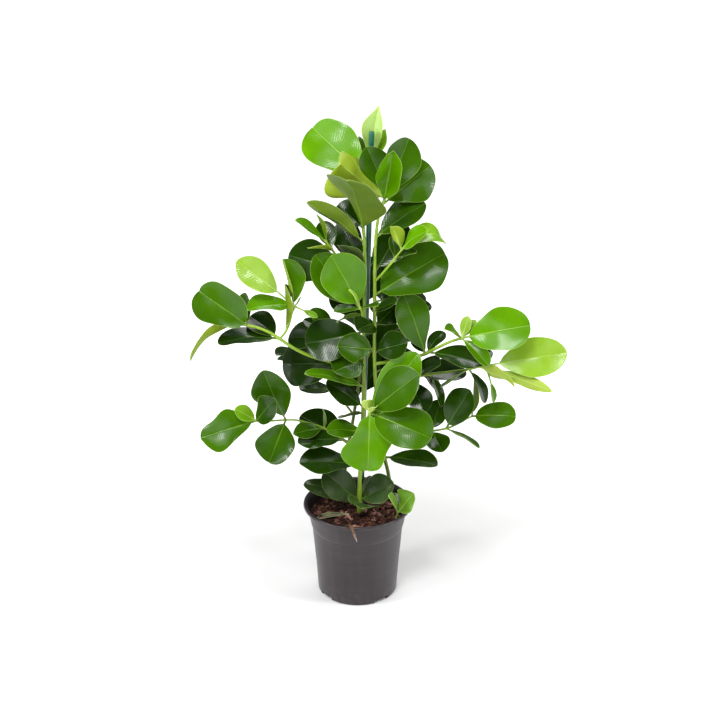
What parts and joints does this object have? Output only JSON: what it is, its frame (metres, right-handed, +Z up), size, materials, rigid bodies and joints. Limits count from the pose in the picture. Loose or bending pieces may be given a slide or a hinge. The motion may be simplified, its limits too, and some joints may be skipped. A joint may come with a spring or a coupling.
{
  "type": "autograph tree in nursery pot",
  "caption": "Upright bushy foliage plant with thick paddle-shaped leaves in opposite pairs, tied-up stems round a stake, rooted in bark in a round tapered nursery pot.",
  "frame": {"origin": "centre of the pot's flat base, on the pot's axis, at the surface the pot stands on", "axes": "+Z up along the pot's axis, -Y towards the front of the plant, +X to the right seen from the front"},
  "size_m": [0.7809, 0.417, 1.0908],
  "materials": {
    "pot_plastic": "dark warm-grey moulded plastic with a faint satin shine",
    "potting_bark": "damp reddish-brown bark and coir chips",
    "stake_coating": "dark teal-green plastic coating, glossy",
    "dry_husk": "dry papery tan-brown plant husk",
    "leaf_dark": "thick leathery dark green leaf, waxy gloss above, duller below",
    "leaf_green": "thick leathery mid-green leaf, waxy gloss above, duller below",
    "leaf_bright": "young leathery lime-green leaf, waxy gloss above, duller below"
  },
  "bodies": {
    "root": {"pot": "pot_plastic", "soil": "potting_bark", "stake": "stake_coating", "husk": "dry_husk", "fallen_leaf": "dry_husk", "stem_leader": "leaf_green", "stem_right": "leaf_green", "stem_front": "leaf_bright", "stem_back": "leaf_dark", "branch_left_upper": "leaf_bright", "twig_left_upper": "leaf_bright", "branch_left_lower": "leaf_dark", "branch_right_upper": "leaf_bright", "branch_right_middle": "leaf_bright", "branch_right_lower": "leaf_dark", "shoot_upper_left": "leaf_green", "shoot_upper_right": "leaf_bright", "shoot_centre": "leaf_bright", "shoot_centre_left": "leaf_dark", "branch_back_left": "leaf_dark", "branch_back_right": "leaf_dark", "seedling_right": "leaf_bright"}
  },
  "joints": []
}
